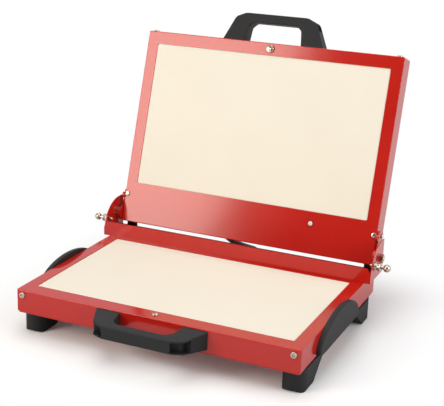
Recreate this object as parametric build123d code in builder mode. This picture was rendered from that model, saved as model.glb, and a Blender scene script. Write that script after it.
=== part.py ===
"""Electric two-plate countertop cooker with a hinged lid, modelled standing open.

The origin is at the bottom centre of the open appliance, with +Z up, +X to the right of
someone facing the front handle, and -Y towards that person. Sizes are in millimetres.
"""

from build123d import *
import math
import os

os.makedirs("parts", exist_ok=True)

# Overall sizes: the width and the cooking window drive both housings
base_width = 480
lid_width = base_width - 1
deck_height = 76
front_y = -214.1
sheet = 1.5
corner_radius = 3
fold_radius = 1.4

# The window in each housing's face, and the bands of the face round it
window_length = 257
side_band = 21
window_width = base_width - 2 * side_band
base_window_start = 26.8
base_rear_band = 70.2
base_depth = base_window_start + window_length + base_rear_band
lid_window_start = 72.1
lid_front_band = 21.9
lid_length = lid_window_start + window_length + lid_front_band

# Clearances: fixed sheets against each other, shafts in bores, faces that pass each other
fit = 0.1
run_fit = 0.1
run_gap = 0.3
wall_cut = 3
double_wall_cut = 6

# Depths below each cooking face: the apron, the closing pan and the pan's upturned wall
base_apron = 36
base_pan_face = 39
lid_apron = 37.4
lid_pan_face = 39.4
pan_wall_top = 24
pan_tab_width = 14
pan_tab_top = 3

# Cooking plates and what lies behind them
plate_overlap = 6
plate_thickness = 4
plate_pad = 0.8
plate_pad_gap = 0.5
plate_edge_break = 0.3
element_radius = 3.25
element_pitch = 40
element_bend = 18
element_rows = 6
element_half_length = window_width / 2 - 29
insulation_width = window_width - 8
insulation_length = window_length - 13
thermostat_radius = 9
thermostat_can_radius = 7.2
thermostat_ear_length = 28.8
thermostat_ear_width = 7.2
thermostat_ear_thickness = 1.95

# Lid at rest: it leans back from upright, with its lower inner edge at this place on the base
lid_lean = 17.2
lid_edge_y = base_depth - 19.4
lid_edge_z = 16.9

# Pivot, as distances up the lid and out of its inner face, and the lid's turn when it closes
pivot_up = 14.0
pivot_out = -3.0
pin_radius = 4
pivot_flange_radius = 12
pivot_flange_thickness = 5.8
pivot_end_chamfer = 0.6
nut_radius = 7.5
nut_length = 5.5
arm_thickness = 3.5
arm_eye_radius = 13
arm_plate = (56, 24)
arm_screw_length = 11
arm_plate_middle = (30, -15)
arm_plate_radius = 5
lock_eye_rim = 2.4
lock_eye_root = 6

# Hinge bracket: a channel on the deck, wider than the base, with an ear at each end
bracket_y = base_depth - 63
bracket_depth = 68
ear_inner_x = lid_width / 2 + arm_thickness + pivot_flange_thickness + run_gap
bracket_half_width = ear_inner_x + sheet
upstand_height = 26.1
upstand_corner = (12, 6)
ear_height = 59
ear_radius = 54
ear_front_step = 5
bracket_screw_y = base_depth - 36

# Lock pins through the ears, which enter an eye in the hinge arm when the lid is closed
lock_y = base_depth - 45.4
lock_z = 26.2
lock_radius = 3
lock_travel = 3.5
lock_ball_radius = 6.5
lock_bush_radius = 7.4
lock_bush_length = 11.2
lock_bush_chamfer = 1
lock_ball_x = bracket_half_width + 21.6
lock_ring_rim = 2
lock_tip_chamfer = 0.8

# Screws, as shank radius, head radius and head height
small_screw = (1.5, 4.5, 2.6)
panel_screw = (2.0, 5.0, 3.0)
inner_screw = (2.0, 4.0, 2.0)
deck_screw = (1.5, 5.0, 3.0)
lid_screw = (2.0, 7.0, 4.5)
inlet_screw = (1.5, 3.0, 1.6)
dome_share = 0.8
chamfer_share = 0.3
front_screw_x = base_width / 2 - 11
front_screw_drop = 8.6
front_screw_length = 10
handle_screw_length = 12
face_screw_x = lid_width / 2 - 5
face_screw_up = 50
small_screw_length = 9
lid_screw_length = 8

# Moulded handles and grips
handle_root = 94
handle_shoulder = 76
handle_nose = 58
handle_reach = 50
handle_shoulder_drop = 8
handle_bar = 16
handle_opening = 53
handle_splay = 5
handle_corner_radius = 8
handle_opening_radius = 11
handle_edge_radius = 1.5
handle_drop = 2
handle_height = 30
handle_near_taper = 3.5
handle_far_taper = 5.6
handle_screw_x = 74
handle_hole_depth = 13
grip_y = base_depth / 2 - 20
grip_half_length = 95
grip_rise = 47
grip_floor = 37
grip_thickness = 8.5
grip_corner_radius = 16
grip_edge_radius = 3
grip_screw_spread = 55
grip_screw_drop = 18
grip_hole_depth = 6

# Feet
foot_outer_x = base_width / 2 + 1
foot_inner_x = foot_outer_x - 38
foot_front = 13
foot_flat_end = 55
foot_slope_end = 103
foot_radius = 9
foot_corner_radius = 3
foot_bore_top = 55
foot_screw_starts = (30, 72)
foot_screw_grip = 8

# Link lead between the housings
lead_radius = 6.25
lid_gland_x = -105
base_gland_x = 4
lid_gland_up = 25
base_gland_drop = 18
gland_length = 12
gland_flange = 2
gland_flange_rim = 4.5
gland_hexagon = 5
gland_hexagon_rim = 4
gland_nose_rim = 2.2
gland_nose_chamfer = 1
gland_bore_gap = 0.5
gland_inner_length = 8
lead_first_run = 27

# Power inlet in the rear wall, and the terminal block behind it
inlet_x = 150
inlet_drop = 18
inlet_flange_size = (50, 23)
inlet_flange_radius = 4
inlet_flange = 2.5
inlet_body = (28, 20)
inlet_body_radius = 2
inlet_back = 4
inlet_depth = 16
inlet_socket = (12, 8)
inlet_key = 4
inlet_screw_x = 20
inlet_hole_depth = 5
blade_size = (2, 4)
blade_length = 9
blade_places = [(-7, -2), (0, 2), (7, -2)]
block_place = (90, 36)
block_size = (46, 18)
block_height = 14
block_pitch = 15
block_hole_radius = 3
block_hole_depth = 8

# Lid stops, angles of thicker sheet
stop_width = 20
stop_outer_x = lid_width / 2 - 0.5
stop_sheet = 2
stop_foot = 20

# Pilot lamp in the lid's lower band
lamp_x = lid_width / 2 - 118.2
lamp_up = 51.7
lamp_radius = 4
lamp_body_depth = 14
lamp_dome = 2.5
lamp_dome_radius = 2
bezel_rim = 2
bezel_height = 1
bezel_chamfer = 0.5


def unit(angle):
    """Direction at an angle back from upright, in the plane seen from the side."""
    return Vector(0, math.sin(math.radians(angle)), math.cos(math.radians(angle)))


# Working planes: the deck, the walls and sides of the base, and the same for the lid
deck = Plane(origin=(0, front_y, deck_height), x_dir=(1, 0, 0), z_dir=(0, 0, 1))
lid_up = unit(lid_lean)
lid_out = unit(lid_lean - 90)
lid_corner = Vector(0, front_y + lid_edge_y, deck_height + lid_edge_z)
lid = Plane(origin=lid_corner, x_dir=(1, 0, 0), z_dir=lid_out)


def base_side(x):
    """Upright plane across the base: its x runs back from the front face, its y up from the deck."""
    return Plane(origin=(x, front_y, deck_height), x_dir=(0, 1, 0), z_dir=(1, 0, 0))


def base_wall(y, facing=-1):
    """Upright plane along the base at a depth y, its normal to the front or to the back."""
    return Plane(origin=(0, front_y + y, deck_height), x_dir=(-facing, 0, 0), z_dir=(0, facing, 0))


def lid_side(x):
    """Plane across the lid: its x runs up the lid, its y out of the inner face."""
    return Plane(origin=lid_corner + Vector(x, 0, 0), x_dir=lid_up, z_dir=(1, 0, 0))


def lid_end(up):
    """Plane across the lid at a distance up it: its y runs out of the inner face."""
    return Plane(origin=lid_corner + lid_up * up, x_dir=(-1, 0, 0), z_dir=lid_up)


def flipped(plane):
    """The same place, facing the other way."""
    return Plane(origin=plane.origin, x_dir=plane.x_dir, z_dir=-plane.z_dir)


def top_face(piece, plane):
    """The face of a piece that lies furthest along a plane's normal."""
    return piece.faces().sort_by(Axis(plane.origin, plane.z_dir))[-1]


def drill(plane, points, radius, depth):
    """Bore round holes into the piece being built, down from a plane."""
    with BuildSketch(plane) as holes:
        with Locations(*points):
            Circle(radius)
    extrude(holes.sketch, amount=-depth, mode=Mode.SUBTRACT)


def save(builder, name):
    """Name a finished piece and write it."""
    builder.part.label = name
    export_step(builder.part, f"parts/{name}.step")


def tray(face, width, length, depth, window_start):
    """Folded sheet housing, open behind, with a window for the plate in its face."""
    with BuildPart() as piece:
        with BuildSketch(face):
            with Locations((0, length / 2)):
                RectangleRounded(width, length, corner_radius)
        extrude(amount=-depth)
        fillet(top_face(piece, face).edges(), fold_radius)
        offset(amount=-sheet, openings=top_face(piece, flipped(face)))
        with BuildSketch(face):
            with Locations((0, window_start + window_length / 2)):
                RectangleRounded(window_width, window_length, corner_radius)
        extrude(amount=-sheet, mode=Mode.SUBTRACT)
    return piece


def pan(face, width, length, outer_depth, tab_wall):
    """Shallow pan that closes a tray from behind, with two screw tabs on one wall."""
    gap = sheet + fit
    inner_width = width - 2 * gap
    inner_length = length - 2 * gap
    with BuildPart() as piece:
        with BuildSketch(face.offset(-outer_depth)):
            with Locations((0, length / 2)):
                RectangleRounded(inner_width, inner_length, corner_radius)
        extrude(amount=outer_depth - pan_wall_top)
        offset(amount=-sheet, openings=top_face(piece, face))
        tab_y = gap + sheet / 2 if tab_wall == "start" else length - gap - sheet / 2
        with BuildSketch(face.offset(-pan_wall_top)):
            with Locations((-front_screw_x, tab_y), (front_screw_x, tab_y)):
                Rectangle(pan_tab_width, sheet)
        extrude(amount=pan_wall_top - pan_tab_top)
    return piece


def cooking_plate(face, window_start):
    """Plate seated against the back of the housing's face, with a pad that rises in the window."""
    with BuildPart() as piece:
        with BuildSketch(face.offset(-sheet)):
            with Locations((0, window_start + window_length / 2)):
                RectangleRounded(
                    window_width + 2 * plate_overlap,
                    window_length + 2 * plate_overlap,
                    corner_radius + plate_overlap,
                )
        extrude(amount=-plate_thickness)
        with BuildSketch(face.offset(-sheet)):
            with Locations((0, window_start + window_length / 2)):
                RectangleRounded(
                    window_width - 2 * plate_pad_gap,
                    window_length - 2 * plate_pad_gap,
                    corner_radius - plate_pad_gap,
                )
        extrude(amount=plate_pad)
        chamfer(top_face(piece, face).edges(), plate_edge_break)
    return piece


element_depth = sheet + plate_thickness + element_radius + fit


def heating_element(face, window_start):
    """Tubular element wound to and fro behind the plate."""
    middle = window_start + window_length / 2
    start = middle - element_pitch * (element_rows - 1) / 2
    points = []
    for row in range(element_rows):
        side = -1 if row % 2 == 0 else 1
        y = start + element_pitch * row
        points.append((side * element_half_length, y))
        points.append((-side * element_half_length, y))
    plane = face.offset(-element_depth)
    with BuildPart() as piece:
        with BuildLine(plane) as path:
            FilletPolyline(*points, radius=element_bend)
        with BuildSketch(Plane(origin=path.line @ 0, z_dir=path.line % 0)):
            Circle(element_radius)
        sweep()
    return piece


def insulation(face, window_start, pan_face):
    """Rigid board that presses the element to the plate and rests on the pan."""
    top = element_depth + element_radius + fit
    with BuildPart() as piece:
        with BuildSketch(face.offset(-top)):
            with Locations((0, window_start + window_length / 2)):
                RectangleRounded(insulation_width, insulation_length, corner_radius)
        extrude(amount=-(pan_face - sheet - top))
    return piece


def thermostat(face, window_start):
    """Disc thermostat between two rows of the element, flat against the plate."""
    height = 2 * element_radius
    with BuildPart() as piece:
        with BuildSketch(face.offset(-(sheet + plate_thickness))):
            with Locations((0, window_start + window_length / 2)):
                Circle(thermostat_radius)
                Rectangle(thermostat_ear_length, thermostat_ear_width)
        extrude(amount=-thermostat_ear_thickness)
        with BuildSketch(face.offset(-(sheet + plate_thickness))):
            with Locations((0, window_start + window_length / 2)):
                Circle(thermostat_can_radius)
        extrude(amount=-height)
    return piece


def screws(plane, points, size, length, recess=0.0, domed=False):
    """Screws with their heads standing on a plane, or sunk below it by a recess."""
    shank_radius, head_radius, head_height = size
    seat = plane.offset(-recess)
    with BuildPart() as piece:
        with BuildSketch(seat):
            with Locations(*points):
                Circle(head_radius)
        extrude(amount=head_height)
        rims = piece.faces().filter_by(Plane(seat.origin, z_dir=seat.z_dir))
        rims = rims.group_by(Axis(seat.origin, seat.z_dir))[-1].edges()
        if domed:
            fillet(rims, dome_share * head_height)
        else:
            chamfer(rims, chamfer_share * head_height)
        with BuildSketch(seat):
            with Locations(*points):
                Circle(shank_radius)
        extrude(amount=-length)
    return piece


def handle(plan):
    """Moulded U handle. In the plan plane x runs across, y outwards, z away from the cooking face."""
    shoulder_reach = handle_reach - handle_shoulder_drop
    side = Plane(
        origin=plan.origin - plan.x_dir * handle_root,
        x_dir=plan.y_dir,
        z_dir=plan.x_dir,
    )
    with BuildPart() as piece:
        with BuildSketch(plan.offset(handle_drop)):
            with BuildLine():
                FilletPolyline(
                    (-handle_root, 0),
                    (-handle_shoulder, shoulder_reach),
                    (-handle_nose, handle_reach),
                    (handle_nose, handle_reach),
                    (handle_shoulder, shoulder_reach),
                    (handle_root, 0),
                    radius=handle_corner_radius,
                )
                Line((handle_root, 0), (-handle_root, 0))
            make_face()
            with BuildLine():
                FilletPolyline(
                    (-handle_opening, 0),
                    (handle_splay - handle_opening, handle_reach - handle_bar),
                    (handle_opening - handle_splay, handle_reach - handle_bar),
                    (handle_opening, 0),
                    radius=handle_opening_radius,
                )
                Line((handle_opening, 0), (-handle_opening, 0))
            make_face(mode=Mode.SUBTRACT)
        extrude(amount=handle_height)
        with BuildSketch(side):
            with BuildLine():
                Polyline(
                    (0, handle_drop),
                    (handle_reach, handle_drop + handle_near_taper),
                    (handle_reach, handle_drop + handle_height - handle_far_taper),
                    (0, handle_drop + handle_height),
                    close=True,
                )
            make_face()
        extrude(amount=2 * handle_root, mode=Mode.INTERSECT)
        outward = Axis(plan.origin, plan.y_dir)
        clear = piece.edges().filter_by(lambda e: (e.center() - outward.position).dot(plan.y_dir) > 1)
        fillet(clear, handle_edge_radius)
        mount = flipped(Plane(origin=plan.origin, x_dir=plan.x_dir, z_dir=plan.y_dir))
        middle = handle_drop + handle_height / 2
        across = mount.to_local_coords(plan.origin + plan.z_dir * middle).Y
        seats = [(-handle_screw_x, across), (handle_screw_x, across)]
        drill(mount, seats, inner_screw[0] + fit, handle_hole_depth)
    return piece


def gland(plane, radius):
    """Cable gland on a wall: a flange, a hexagon and a rounded nose."""
    with BuildPart() as piece:
        with BuildSketch(plane):
            Circle(radius + gland_flange_rim)
        extrude(amount=gland_flange)
        with BuildSketch(plane.offset(gland_flange)):
            RegularPolygon(radius + gland_hexagon_rim, 6)
        extrude(amount=gland_hexagon)
        nose_start = gland_flange + gland_hexagon
        with BuildSketch(plane.offset(nose_start)):
            Circle(radius + gland_nose_rim)
        extrude(amount=gland_length - nose_start)
        chamfer(top_face(piece, plane).edges(), gland_nose_chamfer)
        with BuildSketch(plane):
            Circle(radius - gland_bore_gap)
        extrude(amount=-gland_inner_length)
    return piece


def at(plane, x, y):
    """A plane moved to a point in itself."""
    return Plane(origin=plane.from_local_coords((x, y, 0)), x_dir=plane.x_dir, z_dir=plane.z_dir)


def mirror_pair(x, y):
    """A point and its twin on the other side of the middle."""
    return [(-x, y), (x, y)]


middle_drop = handle_drop + handle_height / 2
front_wall = base_wall(0)
rear_wall = base_wall(base_depth, facing=1)
lid_top = lid_end(lid_length)
pivot = lid_corner + lid_up * pivot_up + lid_out * pivot_out
lock = Vector(0, front_y + lock_y, deck_height + lock_z)

# Closed, the lid's up direction points forwards and its inner face down
lock_eye_up = pivot_up + pivot.Y - lock.Y
lock_eye_out = pivot_out + pivot.Z - lock.Z
print(f"pivot at y {pivot.Y:.3f}, z {pivot.Z:.3f}; lock eye {lock_eye_up:.2f}, {lock_eye_out:.2f}")

# Base housing
foot_screw_points = []
for foot_y in foot_screw_starts:
    for screw_y in (foot_y, base_depth - foot_y):
        foot_screw_points += mirror_pair((foot_inner_x + foot_outer_x) / 2, screw_y)
front_seats = mirror_pair(front_screw_x, -front_screw_drop)
bracket_screw_points = mirror_pair(200, bracket_screw_y) + mirror_pair(70, bracket_screw_y)
grip_screw_ys = (grip_y - grip_screw_spread, grip_y + grip_screw_spread)
stud_y = 13.2

base_tray = tray(deck, base_width, base_depth, base_apron, base_window_start)
with BuildPart() as base_casing:
    add(base_tray.part)
    drill(front_wall, front_seats, panel_screw[0] + fit, wall_cut)
    drill(front_wall, mirror_pair(handle_screw_x, -middle_drop), inner_screw[0] + fit, wall_cut)
    drill(deck, [(0, stud_y)], deck_screw[0] + fit, wall_cut)
    drill(deck, bracket_screw_points, inner_screw[0] + fit, wall_cut)
    grip_holes = [(y, -grip_screw_drop) for y in grip_screw_ys]
    drill(base_side(base_width / 2), grip_holes, inner_screw[0] + fit, base_width)
    drill(rear_wall, [(-base_gland_x, -base_gland_drop)], lead_radius, wall_cut)
    with BuildSketch(rear_wall):
        with Locations((-inlet_x, -inlet_drop)):
            Rectangle(inlet_body[0] + 2 * fit, inlet_body[1] + 2 * fit)
    extrude(amount=-wall_cut, mode=Mode.SUBTRACT)
    inlet_seats = [(-inlet_x - inlet_screw_x, -inlet_drop), (-inlet_x + inlet_screw_x, -inlet_drop)]
    drill(rear_wall, inlet_seats, inlet_screw[0] + fit, wall_cut)
save(base_casing, "base_casing")

base_pan = pan(deck, base_width, base_depth, base_pan_face, "start")
with BuildPart() as base_bottom_plate:
    add(base_pan.part)
    drill(front_wall, front_seats, panel_screw[0] + fit, double_wall_cut)
    drill(deck, foot_screw_points, inner_screw[0] + fit, base_pan_face + wall_cut)
    with BuildSketch(rear_wall):
        with Locations((-inlet_x, -inlet_drop)):
            Rectangle(inlet_body[0] + 1, inlet_body[1] + 1)
    extrude(amount=-double_wall_cut, mode=Mode.SUBTRACT)
save(base_bottom_plate, "base_bottom_plate")

lower_plate = cooking_plate(deck, base_window_start)
save(lower_plate, "lower_plate")
lower_element = heating_element(deck, base_window_start)
save(lower_element, "lower_heating_element")
lower_insulation = insulation(deck, base_window_start, base_pan_face)
save(lower_insulation, "lower_insulation")
lower_thermostat = thermostat(deck, base_window_start)
save(lower_thermostat, "lower_thermostat")

with BuildPart() as terminal_block:
    block_floor = deck.offset(sheet - base_pan_face)
    block_at = (block_place[0], base_depth - block_place[1])
    with BuildSketch(block_floor):
        with Locations(block_at):
            RectangleRounded(*block_size, inlet_body_radius)
    extrude(amount=block_height)
    with BuildSketch(block_floor.offset(block_height)):
        with Locations(block_at):
            with GridLocations(block_pitch, 1, 3, 1):
                Circle(block_hole_radius)
    extrude(amount=-block_hole_depth, mode=Mode.SUBTRACT)
save(terminal_block, "terminal_block")

base_front_screws = screws(front_wall, front_seats, panel_screw, front_screw_length, domed=True)
save(base_front_screws, "base_front_screws")
base_stud = screws(deck, [(0, stud_y)], deck_screw, small_screw_length, domed=True)
save(base_stud, "base_centre_stud")
handle_seat = base_wall(sheet, facing=1)
front_handle_screws = screws(
    handle_seat, mirror_pair(handle_screw_x, -middle_drop), inner_screw, handle_screw_length
)
save(front_handle_screws, "front_handle_screws")
front_handle = handle(Plane(origin=deck.origin, x_dir=(1, 0, 0), z_dir=(0, 0, -1)))
save(front_handle, "front_handle")

# Rear hinge bracket, folded from one sheet: deck flange, upstand and an ear at each end
bracket_rear = bracket_y + bracket_depth
ear_centre_y = bracket_y + ear_radius
with BuildPart() as rear_hinge_bracket:
    with BuildSketch(deck):
        with Locations((0, bracket_y + bracket_depth / 2)):
            Rectangle(2 * bracket_half_width, bracket_depth)
    extrude(amount=sheet)
    with BuildSketch(base_wall(bracket_y)):
        with Locations((0, upstand_height / 2)):
            Rectangle(2 * bracket_half_width, upstand_height)
    extrude(amount=-sheet)
    upstand_corners = rear_hinge_bracket.edges().filter_by(Axis.Y)
    upstand_corners = upstand_corners.group_by(Axis.Z)[-1]
    chamfer(upstand_corners, *upstand_corner)
    for edge_x in (-bracket_half_width, bracket_half_width - sheet):
        with BuildSketch(base_side(edge_x)):
            with BuildLine():
                Polyline(
                    (bracket_y, ear_front_step),
                    (bracket_y, 0),
                    (bracket_rear, 0),
                    (bracket_rear, ear_height),
                    (ear_centre_y, ear_height),
                )
                RadiusArc((bracket_y, ear_front_step), (ear_centre_y, ear_height), ear_radius)
            make_face()
        extrude(amount=sheet)
    folds = rear_hinge_bracket.edges().filter_by(Axis.Y).group_by(Axis.Z)[0]
    fillet(folds, fold_radius)
    pivot_hole = [(pivot.Y - front_y, pivot.Z - deck_height)]
    ear_outer = base_side(bracket_half_width)
    drill(ear_outer, pivot_hole, pin_radius + run_fit, 2 * bracket_half_width)
    drill(ear_outer, [(lock_y, lock_z)], lock_radius + run_fit, 2 * bracket_half_width)
    drill(deck.offset(sheet), bracket_screw_points, inner_screw[0] + fit, sheet)
save(rear_hinge_bracket, "rear_hinge_bracket")

bracket_screws = screws(deck.offset(sheet), bracket_screw_points, inner_screw, small_screw_length)
save(bracket_screws, "bracket_screws")

# Lid stops: angles on the bracket's flange, just clear of the open lid's lower wall
lid_slope = math.tan(math.radians(lid_lean))


def stop_height(y):
    """Height of the stop's top edge at a depth y, parallel to the open lid's lower wall."""
    return lid_edge_z - (y - lid_edge_y) * lid_slope - run_gap / math.cos(math.radians(lid_lean))


for side, inner_x in (("left", -stop_outer_x), ("right", stop_outer_x - stop_width)):
    with BuildPart() as lid_stop:
        with BuildSketch(base_side(inner_x)):
            with BuildLine():
                stop_front = bracket_rear - stop_foot
                stop_face = bracket_rear - stop_sheet
                Polyline(
                    (stop_front, sheet),
                    (bracket_rear, sheet),
                    (bracket_rear, stop_height(bracket_rear)),
                    (stop_face, stop_height(stop_face)),
                    (stop_face, sheet + stop_sheet),
                    (stop_front, sheet + stop_sheet),
                    close=True,
                )
            make_face()
        extrude(amount=stop_width)
    save(lid_stop, f"lid_stop_{side}")

# Moulded feet under the four corners, screwed up into the pan from deep bores
table = Plane(origin=(0, front_y, 0), x_dir=(1, 0, 0), z_dir=(0, 0, -1))
for end, toward in (("front", 1), ("rear", -1)):
    for side, sign in (("left", -1), ("right", 1)):
        start = 0 if toward == 1 else base_depth
        inner_face = min(sign * foot_inner_x, sign * foot_outer_x)
        with BuildPart() as foot:
            with BuildSketch(base_side(inner_face)):
                with BuildLine():
                    Polyline(
                        (start + toward * foot_front, -base_pan_face),
                        (start + toward * foot_front, -deck_height),
                        (start + toward * foot_flat_end, -deck_height),
                        (start + toward * foot_slope_end, -base_pan_face),
                        close=True,
                    )
                make_face()
            extrude(amount=foot_outer_x - foot_inner_x)
            tall = foot.edges().filter_by(Axis.X).group_by(Axis.Z)[0]
            fillet(tall.sort_by(Axis.Y)[0 if toward == 1 else -1], foot_radius)
            fillet(foot.edges().filter_by(Axis.Z), foot_corner_radius)
            points = [(p[0], -p[1]) for p in foot_screw_points]
            drill(table, points, inner_screw[0] + fit, deck_height)
            drill(table, points, panel_screw[1], deck_height - foot_bore_top)
        save(foot, f"{end}_foot_{side}")

foot_points = [(x, -y) for x, y in foot_screw_points]
foot_seat = Plane(origin=(0, front_y, deck_height - foot_bore_top), x_dir=(1, 0, 0), z_dir=(0, 0, -1))
foot_screws = screws(
    foot_seat, foot_points, inner_screw, foot_bore_top - base_pan_face + foot_screw_grip
)
save(foot_screws, "foot_screws")

# Half-moon grips on the sides, screwed on from inside
for side, sign in (("left", -1), ("right", 1)):
    wall = base_side(sign * base_width / 2)
    with BuildPart() as side_grip:
        with BuildSketch(wall):
            with Locations((grip_y, -grip_floor)):
                Ellipse(grip_half_length, grip_rise)
            with Locations((grip_y, -grip_floor - grip_rise / 2)):
                Rectangle(3 * grip_half_length, grip_rise, mode=Mode.SUBTRACT)
            fillet(vertices(), grip_corner_radius)
        extrude(amount=sign * grip_thickness)
        outer = side_grip.faces().sort_by(Axis.X)[-1 if sign > 0 else 0]
        fillet(outer.edges(), grip_edge_radius)
        drill(wall, grip_holes, inner_screw[0] + fit, -sign * grip_hole_depth)
    save(side_grip, f"side_grip_{side}")
    seat = base_side(sign * (base_width / 2 - sheet))
    inward = flipped(seat) if sign > 0 else seat
    points = [(y, sign * grip_screw_drop) for y in grip_screw_ys]
    grip_screws = screws(inward, points, inner_screw, sheet + grip_hole_depth - 1)
    save(grip_screws, f"side_grip_screws_{side}")

# Lock bushes on the ears and the ball-ended pins that slide in them
lock_tip_x = lid_width / 2 + arm_thickness + run_gap
pin_ring_x = ear_inner_x - run_gap
for side, sign in (("left", -1), ("right", 1)):
    axis_plane = at(base_side(sign * bracket_half_width), lock_y, lock_z)
    with BuildPart() as lock_bush:
        with BuildSketch(axis_plane):
            Circle(lock_bush_radius)
            Circle(lock_radius + run_fit, mode=Mode.SUBTRACT)
        extrude(amount=sign * lock_bush_length)
        outer = lock_bush.faces().sort_by(Axis.X)[-1 if sign > 0 else 0]
        chamfer(outer.edges().sort_by(SortBy.RADIUS)[-1], lock_bush_chamfer)
    save(lock_bush, f"lock_bush_{side}")

    # The profile is half the pin, seen from the front, and turns about the pin's own axis
    pin_plane = Plane(origin=(0, lock.Y, lock.Z), x_dir=(sign, 0, 0), z_dir=(0, -sign, 0))
    ring_start = pin_ring_x - sheet
    neck_x = lock_ball_x - math.sqrt(lock_ball_radius**2 - lock_radius**2)
    with BuildPart() as lock_pin:
        with BuildSketch(pin_plane):
            with BuildLine():
                Polyline(
                    (neck_x, lock_radius),
                    (pin_ring_x, lock_radius),
                    (pin_ring_x, lock_radius + lock_ring_rim),
                    (ring_start, lock_radius + lock_ring_rim),
                    (ring_start, lock_radius),
                    (lock_tip_x + lock_tip_chamfer, lock_radius),
                    (lock_tip_x, lock_radius - lock_tip_chamfer),
                    (lock_tip_x, 0),
                    (lock_ball_x + lock_ball_radius, 0),
                )
                ThreePointArc(
                    (lock_ball_x + lock_ball_radius, 0),
                    (lock_ball_x, lock_ball_radius),
                    (neck_x, lock_radius),
                )
            make_face()
        revolve(axis=Axis(pin_plane.origin, (sign, 0, 0)))
    save(lock_pin, f"lock_pin_{side}")

# Power inlet on the rear wall: flange, body through the wall, socket with three blades
inlet_place = at(rear_wall, -inlet_x, -inlet_drop)
inlet_floor = inlet_depth - inlet_flange
socket_x, socket_y = inlet_socket
with BuildPart() as power_inlet:
    with BuildSketch(inlet_place):
        RectangleRounded(*inlet_flange_size, inlet_flange_radius)
    extrude(amount=inlet_flange)
    with BuildSketch(inlet_place):
        RectangleRounded(*inlet_body, inlet_body_radius)
    extrude(amount=-inlet_floor - inlet_back)
    with BuildSketch(inlet_place.offset(inlet_flange)):
        with BuildLine():
            Polyline(
                (-socket_x, -socket_y),
                (socket_x, -socket_y),
                (socket_x, socket_y - inlet_key),
                (socket_x - inlet_key, socket_y),
                (inlet_key - socket_x, socket_y),
                (-socket_x, socket_y - inlet_key),
                close=True,
            )
        make_face()
    extrude(amount=-inlet_depth, mode=Mode.SUBTRACT)
    inlet_face = inlet_place.offset(inlet_flange)
    drill(inlet_face, mirror_pair(inlet_screw_x, 0), inlet_screw[0] + fit, inlet_hole_depth)
save(power_inlet, "power_inlet")

with BuildPart() as inlet_blades:
    with BuildSketch(inlet_place.offset(-inlet_floor)):
        with Locations(*blade_places):
            Rectangle(*blade_size)
    extrude(amount=blade_length)
save(inlet_blades, "inlet_blades")
inlet_screws = screws(inlet_face, mirror_pair(inlet_screw_x, 0), inlet_screw, lid_screw_length)
save(inlet_screws, "inlet_screws")

# Lid housing
lid_back = flipped(lid.offset(-lid_pan_face))
lid_lamp = (lamp_x, lamp_up)
lid_stud_up = lid_length - 10.2
arm_screw_points = [(24, -20), (50, -20)]
lid_tray = tray(lid, lid_width, lid_length, lid_apron, lid_window_start)
with BuildPart() as lid_frame:
    add(lid_tray.part)
    drill(lid_top, front_seats, panel_screw[0] + fit, wall_cut)
    drill(lid_top, mirror_pair(handle_screw_x, -middle_drop), inner_screw[0] + fit, wall_cut)
    drill(lid, mirror_pair(face_screw_x, face_screw_up), small_screw[0] + fit, wall_cut)
    drill(lid, [(0, lid_stud_up)], lid_screw[0] + fit, wall_cut)
    drill(lid, [lid_lamp], lamp_radius + fit, wall_cut)
    drill(lid_side(lid_width / 2), arm_screw_points, inner_screw[0] + fit, lid_width)
save(lid_frame, "lid_frame")

face_tab_reach = 8
lid_pan = pan(lid, lid_width, lid_length, lid_pan_face, "end")
with BuildPart() as lid_cover:
    add(lid_pan.part)
    for sign in (-1, 1):
        wall_x = sign * (lid_width / 2 - 2 * sheet - fit)
        with BuildSketch(lid.offset(-pan_wall_top)):
            with Locations((wall_x + sign * sheet / 2, face_screw_up)):
                Rectangle(sheet, pan_tab_width)
        extrude(amount=pan_wall_top - sheet - fit)
        with BuildSketch(lid.offset(-sheet - fit)):
            with Locations((wall_x - sign * face_tab_reach / 2, face_screw_up)):
                Rectangle(face_tab_reach, pan_tab_width)
        extrude(amount=-sheet)
    drill(lid_top, front_seats, panel_screw[0] + fit, double_wall_cut)
    drill(lid, mirror_pair(face_screw_x, face_screw_up), small_screw[0] + fit, double_wall_cut)
    drill(lid_side(lid_width / 2), arm_screw_points, inner_screw[0] + fit, lid_width)
    drill(lid_back, [(lid_gland_x, -lid_gland_up)], lead_radius, wall_cut)
save(lid_cover, "lid_cover")

upper_plate = cooking_plate(lid, lid_window_start)
save(upper_plate, "upper_plate")
upper_element = heating_element(lid, lid_window_start)
save(upper_element, "upper_heating_element")
upper_insulation = insulation(lid, lid_window_start, lid_pan_face)
save(upper_insulation, "upper_insulation")
upper_thermostat = thermostat(lid, lid_window_start)
save(upper_thermostat, "upper_thermostat")

lid_front_screws = screws(lid_top, front_seats, panel_screw, front_screw_length, domed=True)
save(lid_front_screws, "lid_front_screws")
face_seats = mirror_pair(face_screw_x, face_screw_up)
lid_corner_screws = screws(lid, face_seats, small_screw, small_screw_length, domed=True)
save(lid_corner_screws, "lid_corner_screws")
lid_stud = screws(lid, [(0, lid_stud_up)], lid_screw, lid_screw_length, domed=True)
save(lid_stud, "lid_centre_stud")
lid_handle_seat = flipped(lid_end(lid_length - sheet))
lid_handle_screws = screws(
    lid_handle_seat, mirror_pair(handle_screw_x, middle_drop), inner_screw, handle_screw_length
)
save(lid_handle_screws, "lid_handle_screws")
lid_handle = handle(
    Plane(origin=lid_corner + lid_up * lid_length, x_dir=(-1, 0, 0), z_dir=-lid_out)
)
save(lid_handle, "lid_handle")

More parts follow.
